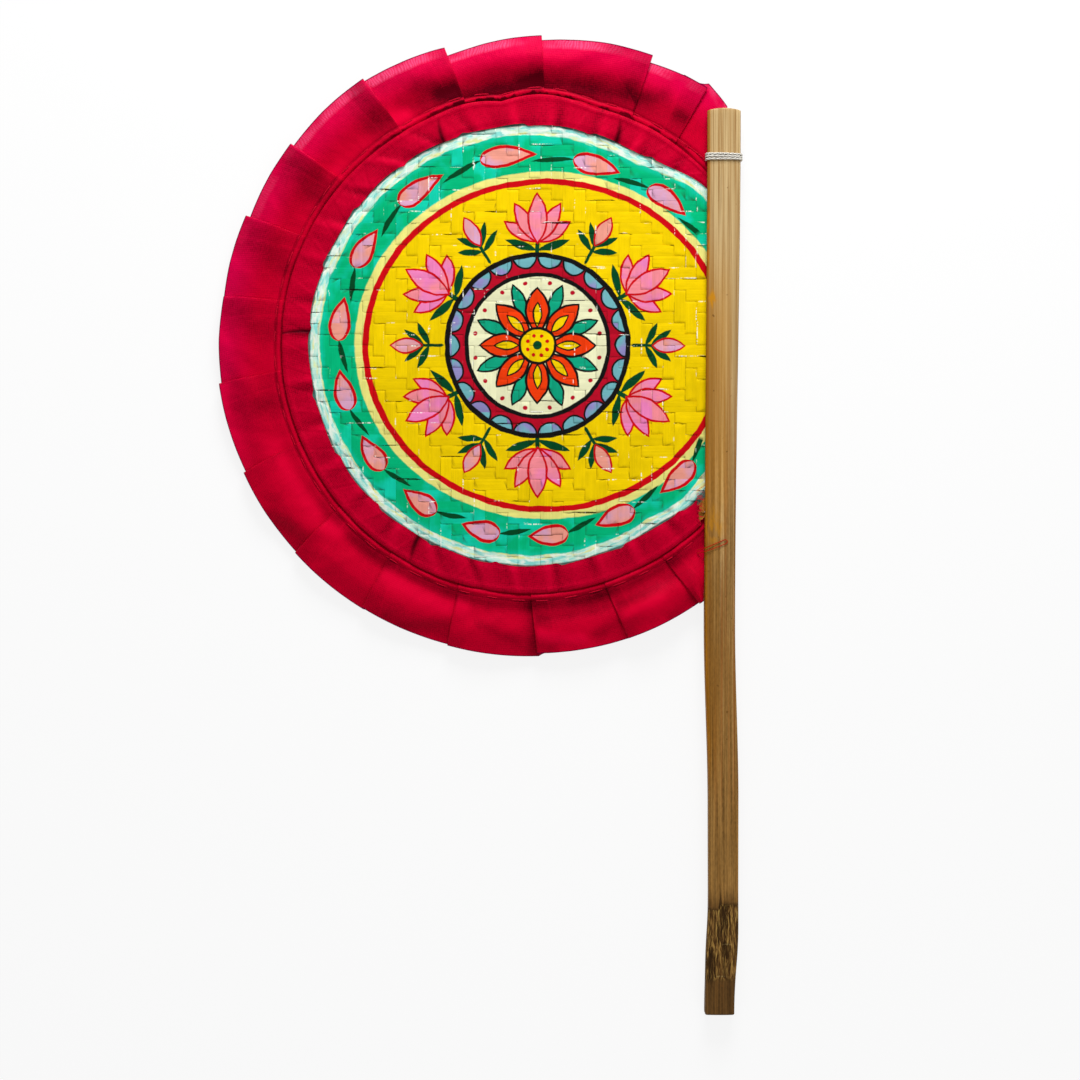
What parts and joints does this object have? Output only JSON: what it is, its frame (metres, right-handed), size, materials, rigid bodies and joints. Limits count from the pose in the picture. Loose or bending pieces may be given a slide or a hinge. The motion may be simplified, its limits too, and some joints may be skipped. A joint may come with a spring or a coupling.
{
  "type": "hand fan",
  "caption": "Round plaited bamboo hand fan with a painted blade, a pleated satin frill round its rim, and a slit bamboo stick that holds the blade by its edge.",
  "frame": {"origin": "middle of the stick's butt end, in the blade's middle plane", "axes": "+Y along the stick from its butt to its tip, +Z out of the painted face, +X across the blade towards the stick as seen from that face"},
  "size_m": [0.2627, 0.491, 0.0124],
  "materials": {
    "stick_bamboo": "planed bamboo",
    "painted_split": "painted bamboo splits",
    "red_satin": "satin ribbon",
    "white_cotton": "cotton thread",
    "red_cotton": "sewing thread"
  },
  "bodies": {
    "root": {"facing_back": "red_satin", "facing_front": "red_satin", "frill": "red_satin", "handle": "stick_bamboo", "seam_thread_end": "red_cotton", "tip_lashing": "white_cotton", "warp_01": "painted_split", "warp_02": "painted_split", "warp_03": "painted_split", "warp_04": "painted_split", "warp_05": "painted_split", "warp_06": "painted_split", "warp_07": "painted_split", "warp_08": "painted_split", "warp_09": "painted_split", "warp_10": "painted_split", "warp_11": "painted_split", "warp_12": "painted_split", "warp_13": "painted_split", "warp_14": "painted_split", "warp_15": "painted_split", "warp_16": "painted_split", "warp_17": "painted_split", "warp_18": "painted_split", "warp_19": "painted_split", "warp_20": "painted_split", "weft_01": "painted_split", "weft_02": "painted_split", "weft_03": "painted_split", "weft_04": "painted_split", "weft_05": "painted_split", "weft_06": "painted_split", "weft_07": "painted_split", "weft_08": "painted_split", "weft_09": "painted_split", "weft_10": "painted_split", "weft_11": "painted_split", "weft_12": "painted_split", "weft_13": "painted_split", "weft_14": "painted_split", "weft_15": "painted_split", "weft_16": "painted_split", "weft_17": "painted_split", "weft_18": "painted_split", "weft_19": "painted_split", "weft_20": "painted_split", "weft_21": "painted_split", "weft_22": "painted_split"}
  },
  "joints": []
}
